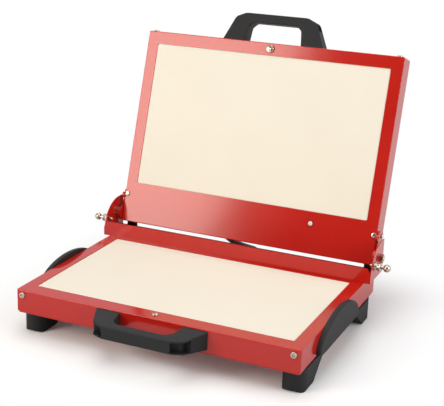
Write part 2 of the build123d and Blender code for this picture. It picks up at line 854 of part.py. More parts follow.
lamp_place = at(lid, *lid_lamp)
with BuildPart() as pilot_lamp:
    with BuildSketch(lamp_place.offset(-lamp_body_depth)):
        Circle(lamp_radius)
    extrude(amount=lamp_body_depth + lamp_dome)
    fillet(top_face(pilot_lamp, lid).edges(), lamp_dome_radius)
save(pilot_lamp, "pilot_lamp")
with BuildPart() as lamp_bezel:
    with BuildSketch(lamp_place):
        Circle(lamp_radius + bezel_rim)
        Circle(lamp_radius + fit, mode=Mode.SUBTRACT)
    extrude(amount=bezel_height)
    chamfer(top_face(lamp_bezel, lid).edges().sort_by(SortBy.RADIUS)[-1], bezel_chamfer)
save(lamp_bezel, "lamp_bezel")

# Hinge arms on the lid's sides, with the pivot studs that turn in the ears and their nuts
arm_outer_x = lid_width / 2 + arm_thickness
nut_x = bracket_half_width + run_gap
for side, sign in (("left", -1), ("right", 1)):
    with BuildPart() as hinge_arm:
        with BuildSketch(lid_side(sign * lid_width / 2)):
            with Locations((pivot_up, pivot_out)):
                Circle(arm_eye_radius)
            with Locations(arm_plate_middle):
                RectangleRounded(*arm_plate, arm_plate_radius)
            with Locations((lock_eye_up, lock_eye_out)):
                Circle(lock_radius + lock_eye_rim)
            with Locations((lock_eye_up, lock_eye_out - lock_eye_root / 2)):
                Rectangle(2 * (lock_radius + lock_eye_rim), lock_eye_root)
            with Locations((lock_eye_up, lock_eye_out)):
                Circle(lock_radius + run_gap, mode=Mode.SUBTRACT)
        extrude(amount=sign * arm_thickness)
        drill(
            lid_side(sign * arm_outer_x),
            arm_screw_points,
            inner_screw[0] + fit,
            sign * arm_thickness,
        )
    save(hinge_arm, f"hinge_arm_{side}")

    seat = lid_side(sign * arm_outer_x)
    outward = seat if sign > 0 else flipped(seat)
    arm_points = [(p[0], sign * p[1]) for p in arm_screw_points]
    arm_screws = screws(outward, arm_points, inner_screw, arm_screw_length)
    save(arm_screws, f"hinge_arm_screws_{side}")

    with BuildPart() as pivot_stud:
        with BuildSketch(at(lid_side(sign * arm_outer_x), pivot_up, pivot_out)):
            Circle(pivot_flange_radius)
        extrude(amount=sign * pivot_flange_thickness)
        with BuildSketch(at(lid_side(sign * arm_outer_x), pivot_up, pivot_out)):
            Circle(pin_radius)
        extrude(amount=sign * (nut_x + nut_length + 1 - arm_outer_x))
        end = pivot_stud.edges().sort_by(Axis.X)[-1 if sign > 0 else 0]
        chamfer(end, pivot_end_chamfer)
    save(pivot_stud, f"pivot_stud_{side}")

    with BuildPart() as pivot_nut:
        with BuildSketch(at(lid_side(sign * nut_x), pivot_up, pivot_out)):
            RegularPolygon(nut_radius, 6)
            Circle(pin_radius + fit / 2, mode=Mode.SUBTRACT)
        extrude(amount=sign * nut_length)
    save(pivot_nut, f"pivot_nut_{side}")

# Link lead: out of the lid's back, round and down behind the bracket, into the base's rear wall
base_gland_place = at(rear_wall, -base_gland_x, -base_gland_drop)
lid_gland_place = at(lid_back, lid_gland_x, -lid_gland_up)
save(gland(base_gland_place, lead_radius), "base_lead_gland")
save(gland(lid_gland_place, lead_radius), "lid_lead_gland")

lead_start = lid_gland_place.offset(gland_length).origin
lead_end = base_gland_place.offset(gland_length).origin
lead_offsets = [(-96, 83, -1), (-77, 91, -19), (-53, 89, -31), (-28, 80, -31), (-7, 62, -25)]
lead_middle = [(x, base_depth + y, z) for x, y, z in lead_offsets]
lead_route = [lead_start, lead_start - lid_out * lead_first_run]
lead_route += [deck.from_local_coords(point) for point in lead_middle]
lead_route += [lead_end + Vector(0, lead_first_run - 1, 0), lead_end]
lead_radii = []
for before, corner, after in zip(lead_route, lead_route[1:], lead_route[2:]):
    run_in = corner - before
    run_out = after - corner
    half_turn = math.radians(run_in.get_angle(run_out)) / 2
    shorter = min(run_in.length, run_out.length)
    lead_radii.append(0.45 * shorter / math.tan(half_turn))
print("link lead radii:", [round(radius, 1) for radius in lead_radii])

with BuildPart() as link_lead:
    with BuildLine() as lead_path:
        FilletPolyline(*lead_route, radius=lead_radii)
    with BuildSketch(Plane(origin=lead_path.line @ 0, z_dir=lead_path.line % 0)):
        Circle(lead_radius)
    sweep()
lead_length = sum(edge.length for edge in lead_path.line.edges())
lead_section = math.pi * lead_radius**2
print(f"link lead length {lead_length:.1f}, volume {link_lead.part.volume:.0f}")
print(f"section times length {lead_section * lead_length:.0f}")
save(link_lead, "link_lead")
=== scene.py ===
"""Looks of an electric two-plate countertop cooker, standing open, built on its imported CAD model."""

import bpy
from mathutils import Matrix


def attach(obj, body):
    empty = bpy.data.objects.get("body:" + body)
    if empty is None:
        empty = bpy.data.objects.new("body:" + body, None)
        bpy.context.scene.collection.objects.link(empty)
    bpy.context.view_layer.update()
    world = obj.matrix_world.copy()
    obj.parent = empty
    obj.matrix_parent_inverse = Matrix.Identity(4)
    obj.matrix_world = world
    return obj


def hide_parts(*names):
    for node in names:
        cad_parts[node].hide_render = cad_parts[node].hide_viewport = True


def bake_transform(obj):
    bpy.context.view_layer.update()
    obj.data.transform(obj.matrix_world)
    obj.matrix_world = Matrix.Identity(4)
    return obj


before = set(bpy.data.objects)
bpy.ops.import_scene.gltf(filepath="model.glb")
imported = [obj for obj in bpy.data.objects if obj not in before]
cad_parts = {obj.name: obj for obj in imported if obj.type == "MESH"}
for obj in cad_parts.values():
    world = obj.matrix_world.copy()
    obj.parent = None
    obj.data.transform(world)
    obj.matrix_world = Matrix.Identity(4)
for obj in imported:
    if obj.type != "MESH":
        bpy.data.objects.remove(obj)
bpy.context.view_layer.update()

import math

import bmesh
import bpy
import numpy as np
from mathutils import Matrix, Quaternion, Vector

# The camera
# A long lens in front of the cooker, a little above it and to its right, turned by
# under two degrees. It was solved from the corners of the housings.
camera_place = (0.7049, -1.5579, 0.7430)
turned = math.radians(23.884)
raised = math.radians(17.684)
rolled = math.radians(1.886)
looking = Vector((
    -math.sin(turned) * math.cos(raised),
    math.cos(turned) * math.cos(raised),
    -math.sin(raised),
))
across = looking.cross(Vector((0, 0, 1))).normalized()
upward = across.cross(looking)
picture_x = across * math.cos(rolled) + upward * math.sin(rolled)
picture_y = upward * math.cos(rolled) - across * math.sin(rolled)
picture_axes = Matrix((picture_x, picture_y, -looking)).transposed().to_4x4()
# Both in the photograph's pixels
focal_length = 1100.63
picture_width = 444

camera_data = bpy.data.cameras.new("camera")
camera_data.sensor_width = 36
camera_data.lens = focal_length / picture_width * camera_data.sensor_width
camera_data.clip_end = 50
camera = bpy.data.objects.new("camera", camera_data)
camera.matrix_world = Matrix.Translation(camera_place) @ picture_axes
bpy.context.scene.collection.objects.link(camera)
bpy.context.scene.camera = camera


# The link lead
# The heating current crosses from the base to the lid in a short ribbed sleeve. It leaves
# the lid's back, loops down behind the hinge bracket and enters the base's rear wall.
def linear(code):
    """A colour as the shaders want it, from its sRGB hex code: each channel is undone from its gamma."""
    channels = np.array([int(code[i:i + 2], 16) for i in (1, 3, 5)]) / 255
    low = channels / 12.92
    high = ((channels + 0.055) / 1.055) ** 2.4
    return (*np.where(channels <= 0.04045, low, high), 1.0)


def add_node(material, kind, inputs=(), **settings):
    """Add a node. Settings are its own properties; inputs are values or other nodes' outputs."""
    made = material.node_tree.nodes.new(kind)
    for key, value in settings.items():
        setattr(made, key, value)
    for key, value in dict(inputs).items():
        if isinstance(value, bpy.types.NodeSocket):
            material.node_tree.links.new(value, made.inputs[key])
        else:
            made.inputs[key].default_value = value
    return made


def new_material(name, code, **sockets):
    """A material with one Principled shader: its colour as a hex code, its other sockets by name."""
    made = bpy.data.materials.new(name)
    made.use_nodes = True
    shader = made.node_tree.nodes["Principled BSDF"]
    shader.inputs["Base Color"].default_value = linear(code)
    for key, value in sockets.items():
        shader.inputs[key.replace("_", " ").title().replace("Ior", "IOR")].default_value = value
    return made


def connect(material, socket, output):
    """Join an output to a socket of the material's shader."""
    shader = material.node_tree.nodes["Principled BSDF"]
    material.node_tree.links.new(output, shader.inputs[socket])


def mesh_points(mesh):
    """A mesh's points as an array, one row for each."""
    values = np.zeros(len(mesh.vertices) * 3)
    mesh.vertices.foreach_get("co", values)
    return values.reshape(-1, 3)


def closed_mesh(name, points, faces):
    """A mesh from points and faces, its doubles merged and its faces turned outwards."""
    mesh = bpy.data.meshes.new(name)
    mesh.from_pydata(points.tolist(), [], faces)
    work = bmesh.new()
    work.from_mesh(mesh)
    bmesh.ops.remove_doubles(work, verts=work.verts, dist=1e-6)
    bmesh.ops.dissolve_degenerate(work, edges=work.edges, dist=1e-7)
    bmesh.ops.recalc_face_normals(work, faces=work.faces)
    work.to_mesh(mesh)
    work.free()
    return mesh


def lay_mesh(name, points, faces, material, body, sharp=35):
    """A piece from points and faces, shaded smooth except at edges sharper than an angle in
    degrees, riding on a body where one is given."""
    mesh = closed_mesh(name, points, faces)
    mesh.shade_smooth()
    mesh.set_sharp_from_angle(angle=math.radians(sharp))
    mesh.materials.append(material)
    piece = bpy.data.objects.new(name, mesh)
    bpy.context.scene.collection.objects.link(piece)
    if body:
        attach(piece, body)
    return piece


def skin(rows, columns, first=0, ends=True):
    """Quads over a grid of rows of points, each row a closed ring: every point is joined to the
    next in its ring and to both below. With ends, the first and last rings are closed by a face."""
    row, column = np.meshgrid(np.arange(rows - 1), np.arange(columns), indexing="ij")
    after = (column + 1) % columns
    corners = (row * columns + column, row * columns + after,
               (row + 1) * columns + after, (row + 1) * columns + column)
    faces = (np.stack(corners, axis=-1).reshape(-1, 4) + first).tolist()
    if ends:
        faces.append((np.arange(columns) + first).tolist())
        faces.append((np.arange(columns) + first + (rows - 1) * columns).tolist())
    return faces


# All in metres. The route's first point is in the lid's gland and its last in the base's
lead_route = [
    (-0.105, 0.17699, 0.10158), (-0.105, 0.20279, 0.09360), (-0.096, 0.2229, 0.075),
    (-0.077, 0.2309, 0.057), (-0.053, 0.2289, 0.045), (-0.028, 0.2199, 0.045),
    (-0.007, 0.2019, 0.051), (0.004, 0.1779, 0.058), (0.004, 0.1519, 0.058),
]
lead_radius = 0.00625
rib_pitch = 0.0026
rib_depth = 0.0007
# The higher this is, the squarer are the ribs and the grooves between them
rib_squareness = 2.2
rings_per_rib = 8
ring_points = 24

line_data = bpy.data.curves.new("lead_line", "CURVE")
line_data.dimensions = "3D"
line_data.resolution_u = 40
line = line_data.splines.new("NURBS")
line.points.add(len(lead_route) - 1)
line.points.foreach_set("co", [value for point in lead_route for value in (*point, 1)])
line.order_u = 3
line.use_endpoint_u = True
line_object = bpy.data.objects.new("lead_line", line_data)
bpy.context.scene.collection.objects.link(line_object)
line_mesh = bpy.data.meshes.new_from_object(line_object)
line_points = mesh_points(line_mesh)
bpy.data.objects.remove(line_object)
bpy.data.meshes.remove(line_mesh)

# Even steps along the line, and at each a ring: its middle, plus the radius times the cosine
# and sine of an angle along two directions across the line. The radius is a squared-off cosine.
steps = np.linalg.norm(np.diff(line_points, axis=0), axis=1)
along = np.concatenate([[0], np.cumsum(steps)])
even = np.linspace(0, along[-1], int(along[-1] / rib_pitch * rings_per_rib))
centres = np.stack([np.interp(even, along, line_points[:, k]) for k in range(3)], axis=1)
heading = np.gradient(centres, axis=0)
heading /= np.linalg.norm(heading, axis=1)[:, None]
sideways = np.cross(heading, (0, 0, 1))
sideways /= np.linalg.norm(sideways, axis=1)[:, None]
crosswise = np.cross(sideways, heading)
wave = np.cos(2 * math.pi * even / rib_pitch)
squared = np.tanh(rib_squareness * wave) / math.tanh(rib_squareness)
rib_radius = (lead_radius - rib_depth * (0.5 - 0.5 * squared))[:, None, None]
ring = np.linspace(0, 2 * math.pi, ring_points, endpoint=False)[None, :, None]
lead_points = (
    centres[:, None]
    + rib_radius * np.cos(ring) * sideways[:, None]
    + rib_radius * np.sin(ring) * crosswise[:, None]
)

# Flexible PVC conduit, extruded and corrugated. Its colour is a painted highlight on the ribs and
# painted shade in the grooves between
sheath = new_material("corrugated_pvc_sleeve", "#2B2D2A", roughness=0.42, ior=1.53)
crest = add_node(sheath, "ShaderNodeAttribute", attribute_name="rib_height")
# Painted light: lighter on the rib crests and darker in the grooves, following the rib's height
rib_painted_light = add_node(sheath, "ShaderNodeMix", {
    0: crest.outputs["Fac"], 6: linear("#121311"), 7: linear("#565951"),
}, data_type="RGBA")
connect(sheath, "Base Color", rib_painted_light.outputs[2])
lead = lay_mesh("link_lead_sleeve", lead_points.reshape(-1, 3), skin(len(even), ring_points),
                sheath, None, sharp=70)
rib_height = lead.data.attributes.new("rib_height", "FLOAT", "POINT")
rib_height.data.foreach_set("value", np.repeat(0.5 + 0.5 * wave, ring_points))
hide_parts("link_lead")
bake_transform(lead)


# The room
# A pale floor that runs on into a white sweep, and four soft boxes. The lid's glossy enamel
# mirrors the one at the left front; the others stand high in front, overhead and at the right.
def grey(level):
    """A neutral colour from its linear level, where 1 is white."""
    return (level, level, level, 1.0)


# The floor glows white to the camera, except near the rectangle that the cooker stands on,
# where it keeps the shadow. The glow comes up over a range of distances from that rectangle.
stood_on = (0.24, 0.20, 0)
glow_from = -0.02
glow_to = 0.18
floor_reach = 9
floor_paint = new_material("pale_studio_floor", "#FAFAFA", roughness=0.8, specular_ior_level=0.1)
floor_place = add_node(floor_paint, "ShaderNodeTexCoord")
from_middle = add_node(floor_paint, "ShaderNodeVectorMath", {
    0: floor_place.outputs["Object"],
}, operation="ABSOLUTE")
past_edges = add_node(floor_paint, "ShaderNodeVectorMath", {
    0: from_middle.outputs[0], 1: stood_on,
}, operation="SUBTRACT")
outside = add_node(floor_paint, "ShaderNodeVectorMath", {
    0: past_edges.outputs[0], 1: (0, 0, 0),
}, operation="MAXIMUM")
distance = add_node(floor_paint, "ShaderNodeVectorMath", {0: outside.outputs[0]}, operation="LENGTH")
glow = add_node(floor_paint, "ShaderNodeMapRange", {
    "Value": distance.outputs["Value"], "From Min": glow_from, "From Max": glow_to,
}, interpolation_type="SMOOTHSTEP")
floor_ray = add_node(floor_paint, "ShaderNodeLightPath")
# To the camera the paint is white; what it throws back on the cooker is a grey floor's light
paint = add_node(floor_paint, "ShaderNodeMix", {
    0: floor_ray.outputs["Is Camera Ray"], 6: grey(0.6), 7: grey(0.97),
}, data_type="RGBA")
connect(floor_paint, "Base Color", paint.outputs[2])
seen = add_node(floor_paint, "ShaderNodeMath", {
    0: floor_ray.outputs["Is Camera Ray"], 1: floor_ray.outputs["Is Glossy Ray"],
}, operation="MAXIMUM")
glow_share = add_node(floor_paint, "ShaderNodeMath", {
    0: seen.outputs[0], 1: glow.outputs["Result"],
}, operation="MULTIPLY")
white = add_node(floor_paint, "ShaderNodeEmission", {"Color": grey(1), "Strength": 1.0})
floor_look = add_node(floor_paint, "ShaderNodeMixShader", {
    0: glow_share.outputs[0],
    1: floor_paint.node_tree.nodes["Principled BSDF"].outputs[0],
    2: white.outputs[0],
})
floor_paint.node_tree.links.new(
    floor_look.outputs[0], floor_paint.node_tree.nodes["Material Output"].inputs["Surface"]
)
floor_mesh = bpy.data.meshes.new("studio_floor")
floor_mesh.from_pydata([
    (-floor_reach, -floor_reach, 0), (floor_reach, -floor_reach, 0),
    (floor_reach, floor_reach, 0), (-floor_reach, floor_reach, 0),
], [], [(0, 1, 2, 3)])
floor_mesh.materials.append(floor_paint)
floor = bpy.data.objects.new("studio_floor", floor_mesh)
bpy.context.scene.collection.objects.link(floor)

# The sweep is white to the camera. What it gives as light is dimmer, and gloss mirrors it
# pale, except in front and above the floor, where the room is dark.
sweep_light = grey(0.31)
mirrored_sweep = grey(0.85)
mirrored_dark = grey(0.01)
world = bpy.data.worlds.new("white_sweep")
bpy.context.scene.world = world
world.use_nodes = True
way = add_node(world, "ShaderNodeTexCoord")
way_parts = add_node(world, "ShaderNodeSeparateXYZ", {0: way.outputs["Generated"]})
in_front = add_node(world, "ShaderNodeMapRange", {
    "Value": way_parts.outputs["Y"], "From Min": -0.1, "From Max": -0.4,
}, interpolation_type="SMOOTHSTEP")
raised_up = add_node(world, "ShaderNodeMapRange", {
    "Value": way_parts.outputs["Z"], "From Min": 0.05, "From Max": 0.18,
}, interpolation_type="SMOOTHSTEP")
dark = add_node(world, "ShaderNodeMath", {
    0: in_front.outputs[0], 1: raised_up.outputs[0],
}, operation="MULTIPLY")
mirrored = add_node(world, "ShaderNodeMix", {
    0: dark.outputs[0], 6: mirrored_sweep, 7: mirrored_dark,
}, data_type="RGBA")
world_ray = add_node(world, "ShaderNodeLightPath")
lit = add_node(world, "ShaderNodeMix", {
    0: world_ray.outputs["Is Glossy Ray"], 6: sweep_light, 7: mirrored.outputs[2],
}, data_type="RGBA")
looked_at = add_node(world, "ShaderNodeMath", {
    0: world_ray.outputs["Is Camera Ray"], 1: world_ray.outputs["Is Transmission Ray"],
}, operation="MAXIMUM")
shown = add_node(world, "ShaderNodeMix", {
    0: looked_at.outputs[0], 6: lit.outputs[2], 7: grey(1),
}, data_type="RGBA")
world.node_tree.links.new(
    shown.outputs[2], world.node_tree.nodes["Background"].inputs["Color"]
)


def soft_box(name, place, aim, width, height, power, lean=0, tint="#FFFFFF"):
    """A rectangular lamp at a place, facing a point, leaning over by degrees in its own plane."""
    lamp = bpy.data.lights.new(name, "AREA")
    lamp.shape = "RECTANGLE"
    lamp.size = width
    lamp.size_y = height
    lamp.energy = power
    lamp.color = linear(tint)[:3]
    holder = bpy.data.objects.new(name, lamp)
    holder.location = place
    facing = (Vector(aim) - Vector(place)).to_track_quat("-Z", "Y")
    holder.rotation_euler = (facing @ Quaternion((0, 0, 1), math.radians(lean))).to_euler()
    holder.visible_camera = False
    bpy.context.scene.collection.objects.link(holder)


soft_box("left_soft_box", place=(-1.20, -1.68, 0.95), aim=(0, 0, 0.25), width=0.8, height=1.15,
         power=25, lean=-8, tint="#FFF6EA")
soft_box("high_front_soft_box", place=(0.2, -1.3, 2.1), aim=(0, 0, 0.2), width=1.6, height=1.0,
         power=8)
soft_box("overhead_soft_box", place=(-0.2, 0.1, 2.4), aim=(0, 0, 0), width=2.2, height=1.8,
         power=21)
soft_box("right_soft_box", place=(1.8, -0.3, 0.9), aim=(0, 0, 0.1), width=1.2, height=1.2,
         power=18)

# The red housings
# Each is a tray folded from 1.5 mm steel with a window for its cooking plate, closed behind
# by a pan. All are sprayed with gloss stoving enamel, whose skin has a faint orange peel.
lid_lean = math.radians(17.2)
lid_corner = np.array((0, 0.1205, 0.0929))
lid_up = np.array((0, math.sin(lid_lean), math.cos(lid_lean)))
lid_out = np.array((0, -math.cos(lid_lean), math.sin(lid_lean)))


def on_lid(x, up, out):
    """A point from its distances across, up and out of the lid's inner face."""
    return lid_corner + np.array((x, 0, 0)) + up * lid_up + out * lid_out


# Here and below, a pattern's scale is 1000 over its size in millimetres. The enamel's tone
# and gloss wander over some 70 mm, and its orange peel has waves about 2 mm long.
tone_drift = 71.43
peel_wave = 2.083
enamel = new_material("gloss_stoving_enamel", "#B91F15", roughness=0.15, ior=1.5)
enamel_place = add_node(enamel, "ShaderNodeTexCoord")
drift = add_node(enamel, "ShaderNodeTexNoise", {
    "Vector": enamel_place.outputs["Object"], "Scale": 1000 / tone_drift, "Detail": 2,
})
enamel_tone = add_node(enamel, "ShaderNodeMix", {
    0: drift.outputs[0], 6: linear("#B51C13"), 7: linear("#BD2117"),
}, data_type="RGBA")
connect(enamel, "Base Color", enamel_tone.outputs[2])
enamel_gloss = add_node(enamel, "ShaderNodeMapRange", {
    "Value": drift.outputs[0], "To Min": 0.12, "To Max": 0.17,
})
connect(enamel, "Roughness", enamel_gloss.outputs[0])
peel = add_node(enamel, "ShaderNodeTexNoise", {
    "Vector": enamel_place.outputs["Object"], "Scale": 1000 / peel_wave, "Detail": 1.5,
})
peel_skin = add_node(enamel, "ShaderNodeBump", {
    "Height": peel.outputs[0], "Strength": 0.12, "Distance": 0.00012,
})
connect(enamel, "Normal", peel_skin.outputs[0])
# Edges that turn by more than this many degrees stay sharp
fold_angle = 30


def even_copy(node, material, body):
    """A piece in a CAD node's own shape, merged, shaded smooth over its folds, in its place."""
    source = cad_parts[node].data
    faces = [list(face.vertices) for face in source.polygons]
    piece = lay_mesh(f"{node}_finished", mesh_points(source), faces, material, body, fold_angle)
    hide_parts(node)
    return piece


def keep_flats(piece):
    """Weigh the shading of each corner by its faces' areas, so that flats stay flat up to a fold."""
    weighted = piece.modifiers.new("flat_faces", "WEIGHTED_NORMAL")
    weighted.keep_sharp = True


for node in ("base_casing", "base_bottom_plate", "rear_hinge_bracket"):
    keep_flats(even_copy(node, enamel, "base"))
for node in ("lid_frame", "lid_cover", "hinge_arm_left", "hinge_arm_right"):
    keep_flats(even_copy(node, enamel, "lid"))


# The cooking plates
# Cast aluminium under a sprayed cream ceramic coating, seated behind the windows. The
# coating is nearly matt, with a fine grain of droplets.
def dress(node, material):
    """Give a CAD node its finish."""
    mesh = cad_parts[node].data
    mesh.materials.clear()
    mesh.materials.append(material)


# The bake's tone wanders over some 110 mm, and sprayed droplets are about 1 mm across
bake_drift = 111.1
droplet = 1
ceramic = new_material("cream_ceramic_coating", "#E8E1D1", roughness=0.7, ior=1.4)
ceramic_place = add_node(ceramic, "ShaderNodeTexCoord")
bake = add_node(ceramic, "ShaderNodeTexNoise", {
    "Vector": ceramic_place.outputs["Object"], "Scale": 1000 / bake_drift, "Detail": 3,
})
ceramic_tone = add_node(ceramic, "ShaderNodeMix", {
    0: bake.outputs[0], 6: linear("#E6DECD"), 7: linear("#EAE4D5"),
}, data_type="RGBA")
connect(ceramic, "Base Color", ceramic_tone.outputs[2])
droplets = add_node(ceramic, "ShaderNodeTexNoise", {
    "Vector": ceramic_place.outputs["Object"], "Scale": 1000 / droplet, "Detail": 1,
})
grain = add_node(ceramic, "ShaderNodeBump", {
    "Height": droplets.outputs[0], "Strength": 0.15, "Distance": 0.0001,
})
connect(ceramic, "Normal", grain.outputs[0])
for node in ("lower_plate", "upper_plate"):
    dress(node, ceramic)

# The handles
# Both are the same moulding: a U of glass-filled nylon with a spark-eroded mould texture,
# its legs spreading to the wall, and an open pocket in each slanted corner face.

# Spark erosion leaves pits of about 0.3 mm; they are drawn at 0.8 mm so that they show
pit = 0.8
nylon = new_material("glass_filled_nylon", "#1E1E1F", roughness=0.6, specular_ior_level=0.3)
nylon_place = add_node(nylon, "ShaderNodeTexCoord")
pits = add_node(nylon, "ShaderNodeTexNoise", {
    "Vector": nylon_place.outputs["Object"], "Scale": 1000 / pit, "Detail": 2,
})
pitted = add_node(nylon, "ShaderNodeBump", {
    "Height": pits.outputs[0], "Strength": 0.6, "Distance": 0.0004,
})
connect(nylon, "Normal", pitted.outputs[0])
nylon_tone = add_node(nylon, "ShaderNodeMix", {
    0: pits.outputs[0], 6: linear("#18181A"), 7: linear("#262627"),
}, data_type="RGBA")
connect(nylon, "Base Color", nylon_tone.outputs[2])

# All in millimetres. The plan's two lines give distances across and out from the wall, and
# each of its five runs is divided into a number of steps.
outer_plan = np.array([(-94, 0), (-76, 42), (-58, 50), (58, 50), (76, 42), (94, 0)])
inner_plan = np.array([(-53, 0), (-49.2, 26), (-40, 34), (40, 34), (49.2, 26), (53, 0)])
plan_steps = (24, 20, 58, 20, 24)
handle_reach = 50
# How many steps to each side the eased corners take in
easing = 3
# The near and far faces' heights at the wall, and how far each has drawn in at full reach
near_face = 2
near_taper = 3.5
far_face = 32
far_taper = 5.6
edge_radius = 2.2
edge_steps = 5
pocket_depth = 11
pocket_rim = 2.6
# How many of a leg's steps the pocket takes, next to the slanted corner
pocket_steps = 7

# Each point of the section: the line that it is measured from (0 inner, 1 outer, 2 the
# pocket's floor), its inset from that line, its face (0 near, 1 far) and its depth from it.
quarter = np.radians(np.linspace(0, 90, edge_steps))
insets = edge_radius * (1 - np.cos(quarter))
depths = edge_radius * (1 - np.sin(quarter))
near_side = [(0, inset, 0, depth) for inset, depth in zip(insets, depths)]
near_side += [(1, inset, 0, depth) for inset, depth in zip(insets[::-1], depths[::-1])]
far_side = [(line, inset, 1, depth) for line, inset, _, depth in near_side[::-1]]
pocket = [(1, 0, 0, pocket_rim), (2, 0, 0, pocket_rim), (2, 0, 1, pocket_rim), (1, 0, 1, pocket_rim)]
handle_section = np.array(near_side + pocket + far_side)


def bent_line(corners):
    """Points in even steps along straight runs, with the corners eased: each point is the average
    of itself and its neighbours, and the line is first drawn on past its ends."""
    runs = [
        np.linspace(start, end, count, endpoint=False)
        for start, end, count in zip(corners[:-1], corners[1:], plan_steps)
    ]
    points = np.concatenate([*runs, corners[-1:]])
    before = 2 * points[0] - points[easing:0:-1]
    after = 2 * points[-1] - points[-2:-2 - easing:-1]
    longer = np.concatenate([before, points, after])
    window = np.ones(2 * easing + 1) / (2 * easing + 1)
    return np.stack([np.convolve(longer[:, k], window, "valid") for k in (0, 1)], axis=1)


def handle(name, node, body, origin, x_axis, away):
    """A U handle: the section carried along the plan. A point is its line's point, moved by its
    inset along the way from the inner to the outer line, at its face's height less its depth.
    Both faces draw in evenly with the reach, and the pocket's floor is sunk at the corners."""
    outer = bent_line(outer_plan)
    inner = bent_line(inner_plan)
    outwards = outer - inner
    outwards /= np.linalg.norm(outwards, axis=1)[:, None]
    step = np.arange(len(outer))
    at_corner = (step > plan_steps[0] - pocket_steps) & (step < plan_steps[0] + plan_steps[1])
    sunk = np.where(at_corner | at_corner[::-1], pocket_depth, 0)[:, None]

    line, inset, face, depth = handle_section.T[:, :, None]
    line = line[:, 0].astype(int)
    lines = np.stack([inner, outer, outer - outwards * sunk])
    inset_signs = np.array((1, -1, 0))[line, None]
    plan = lines[line] + (inset_signs * inset)[..., None] * outwards
    reach = plan[..., 1] / handle_reach
    near = near_face + near_taper * reach + depth
    far = far_face - far_taper * reach - depth
    height = np.where(face == 0, near, far)
    local = np.concatenate([plan, height[..., None]], axis=-1).transpose(1, 0, 2) / 1000
    axes = np.stack([x_axis, np.cross(away, x_axis), away])
    piece = lay_mesh(name, local.reshape(-1, 3) @ axes + origin, skin(len(outer), len(handle_section)),
                     nylon, body, sharp=40)
    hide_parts(node)


# In metres: the base's front wall and deck, and the top of the lid
front_wall = -0.2141
deck = 0.076
lid_top = 0.351
handle("front_handle_moulding", "front_handle", "base", np.array((0, front_wall, deck)),
       np.array((1, 0, 0)), np.array((0, 0, -1)))
handle("lid_handle_moulding", "lid_handle", "lid", on_lid(0, lid_top, 0),
       np.array((-1, 0, 0)), -lid_out)

# The side grips
# A half-moon pad of the same nylon on each side, 8.5 mm thick, with a rounded rim and a
# slightly crowned face, screwed on from inside the tray.

# All in millimetres. The outline is half an ellipse and its chord, eased by a moving average
half_length = 95
grip_height = 47
bow_points = 61
chord_points = 46
grip_easings = 14
half_turn = np.linspace(0, math.pi, bow_points)
bow = np.stack([half_length * np.cos(half_turn), grip_height * np.sin(half_turn)], axis=1)
chord = np.linspace(-half_length, half_length, chord_points + 2)[1:-1]
grip_outline = np.concatenate([bow, np.stack([chord, 0 * chord], axis=1)])
for _ in range(grip_easings):
    grip_outline = (
        np.roll(grip_outline, 1, axis=0) + 2 * grip_outline + np.roll(grip_outline, -1, axis=0)
    ) / 4

# Rows of the surface, from the middle of the face over the rim to the back: each is a share
# of the outline about its middle, and a distance from the wall. The rim is a quarter circle.
grip_middle = np.array((0, 19))
face_rows = [(0, 8.5), (0.35, 8.4), (0.7, 8.2)]
back_rows = [(1, 0), (0.9, 0), (0, 0)]
rim_radius = 3
rim_foot = face_rows[-1][1] - rim_radius
rim_points = 7
# How far the outline lies from its middle, taken all round
mean_reach = 45
rim_turn = np.radians(np.linspace(90, 0, rim_points))
rim_rows = np.stack([
    1 - rim_radius / mean_reach * (1 - np.cos(rim_turn)),
    rim_foot + rim_radius * np.sin(rim_turn),
], axis=1)
grip_rows = np.concatenate([face_rows, rim_rows, back_rows])
side_wall = 240
grip_place = np.array((-57.1, 39))
for side, sign in (("left", -1), ("right", 1)):
    share, out = grip_rows.T[:, :, None, None]
    plan = grip_middle + (grip_outline - grip_middle) * share + grip_place
    x = np.broadcast_to(sign * (side_wall + out), (*plan.shape[:2], 1))
    points = np.concatenate([x, plan], axis=-1).reshape(-1, 3) / 1000
    piece = lay_mesh(f"side_grip_{side}_moulding", points,
                     skin(len(grip_rows), len(grip_outline), ends=False), nylon, "base")
    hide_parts(f"side_grip_{side}")

# The feet
# Four mouldings of the same nylon, screwed up into the pan from deep bores. Seen from above,
# the end that faces out of the cooker is a half circle as wide as the foot.

# How far the cutting prism stands clear of the foot, in metres
end_clearance = 0.004
round_end_points = 41


